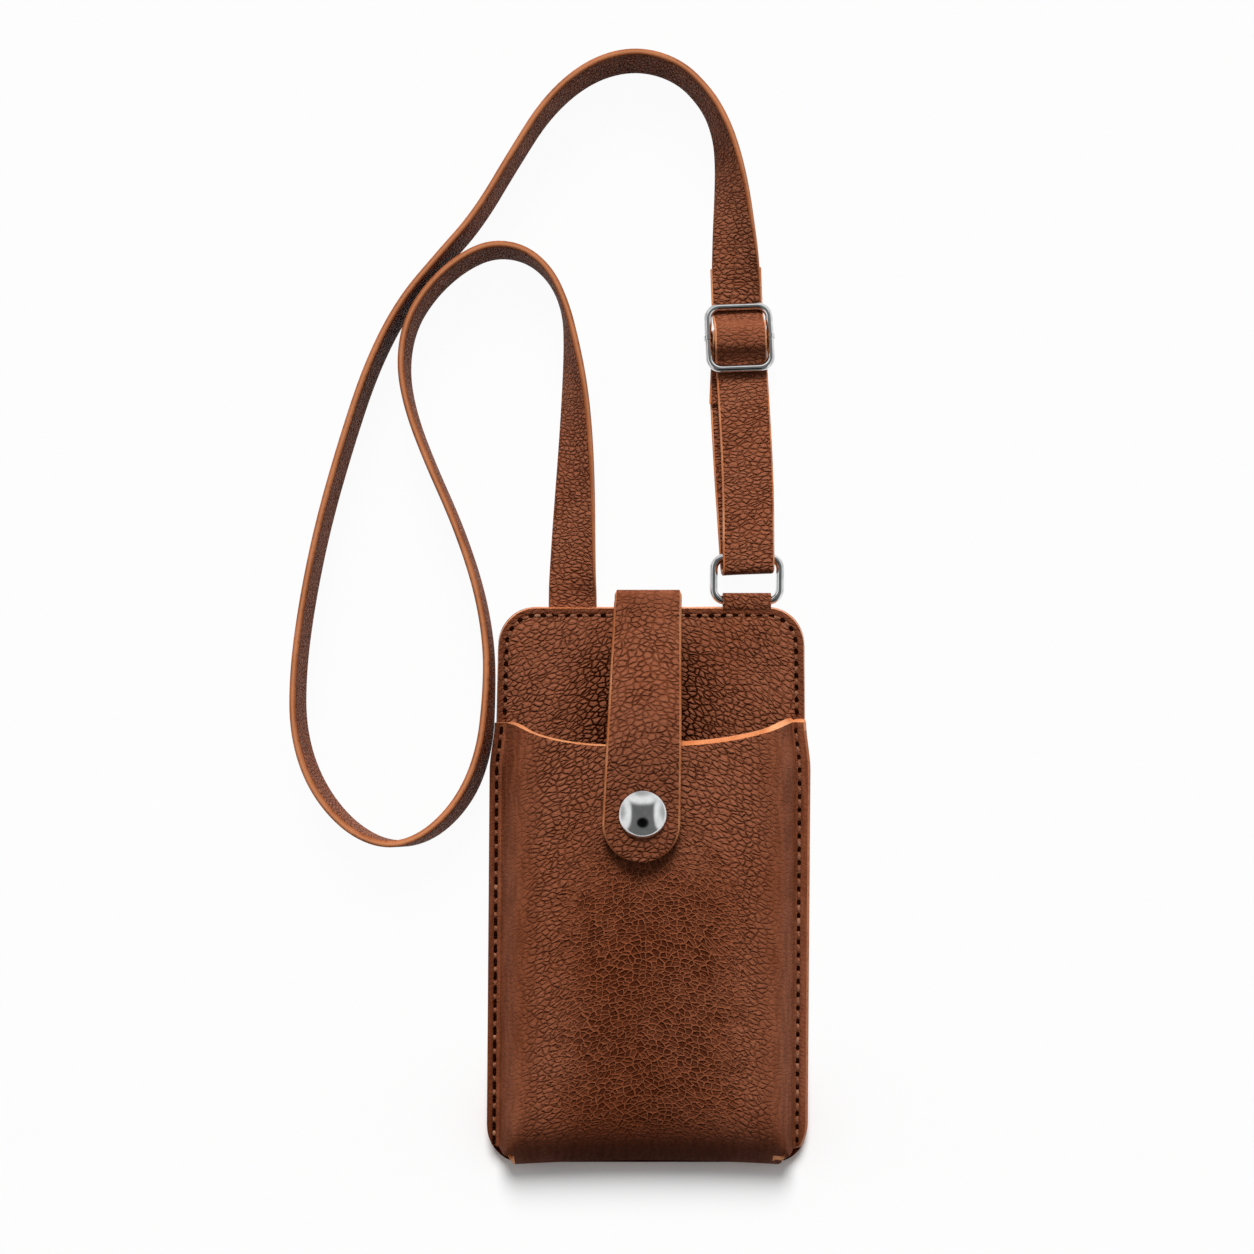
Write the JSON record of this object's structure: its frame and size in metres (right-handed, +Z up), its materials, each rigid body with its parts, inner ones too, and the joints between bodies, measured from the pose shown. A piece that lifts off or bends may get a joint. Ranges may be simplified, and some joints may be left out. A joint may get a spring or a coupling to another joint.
{
  "type": "phone pouch",
  "caption": "Flat leather phone pouch with a moulded, scalloped front pocket, a fold-over snap tab and a narrow shoulder strap that runs through a slider and a ring.",
  "frame": {"origin": "middle of the back panel's outer face, on the surface that the pouch lies on", "axes": "+Y to the pouch's top edge, +Z up out of its front, +X to its right seen from the front"},
  "size_m": [0.1635, 0.3519, 0.0285],
  "materials": {
    "pouch_leather": "pebbled grain, semi-matt, tan raw edges",
    "strap_leather": "pebbled grain, semi-matt, tan painted edges",
    "polished_metal": "polished nickel",
    "thread": "waxed brown thread"
  },
  "bodies": {
    "pouch": {"back_panel": "pouch_leather", "facing_panel": "pouch_leather", "front_pocket": "pouch_leather", "tab_root": "pouch_leather", "tab_fold": "pouch_leather", "snap_stud": "polished_metal", "snap_post": "polished_metal", "ring_loop": "pouch_leather", "strap_anchor_end": "strap_leather", "shoulder_strap": "strap_leather", "strap_slider_leg": "strap_leather", "strap_front_run": "strap_leather", "strap_ring_fold": "strap_leather", "strap_return_run": "strap_leather", "left_seam_thread": "thread", "right_seam_thread": "thread", "top_seam_thread": "thread"},
    "tab": {"closure_tab": "pouch_leather", "snap_cap": "polished_metal", "snap_socket": "polished_metal"},
    "ring": {"strap_ring": "polished_metal"},
    "slider": {"slider_frame": "polished_metal", "slider_bar": "polished_metal", "strap_bight": "strap_leather", "strap_end_loop": "strap_leather", "strap_end_thread": "thread"}
  },
  "joints": [
    {"name": "tab_hinge", "type": "hinge", "parent": "pouch", "child": "tab", "pos_m": [-0.0006, 0.0914, 0.0042], "axis": [-1, 0, 0], "range_deg": [0, 155], "deforming": ["tab_fold"]},
    {"name": "ring_swing", "type": "hinge", "parent": "pouch", "child": "ring", "pos_m": [0.031, 0.0915, 0.0025], "axis": [1, 0, 0], "range_deg": [0, 80], "deforming": ["strap_ring_fold"]},
    {"name": "slider_slide", "type": "slide", "parent": "pouch", "child": "slider", "axis": [-0.0366, 0.9993, 0], "range_m": [-0.025, 0.03], "deforming": ["strap_slider_leg", "strap_front_run", "strap_return_run"]}
  ]
}
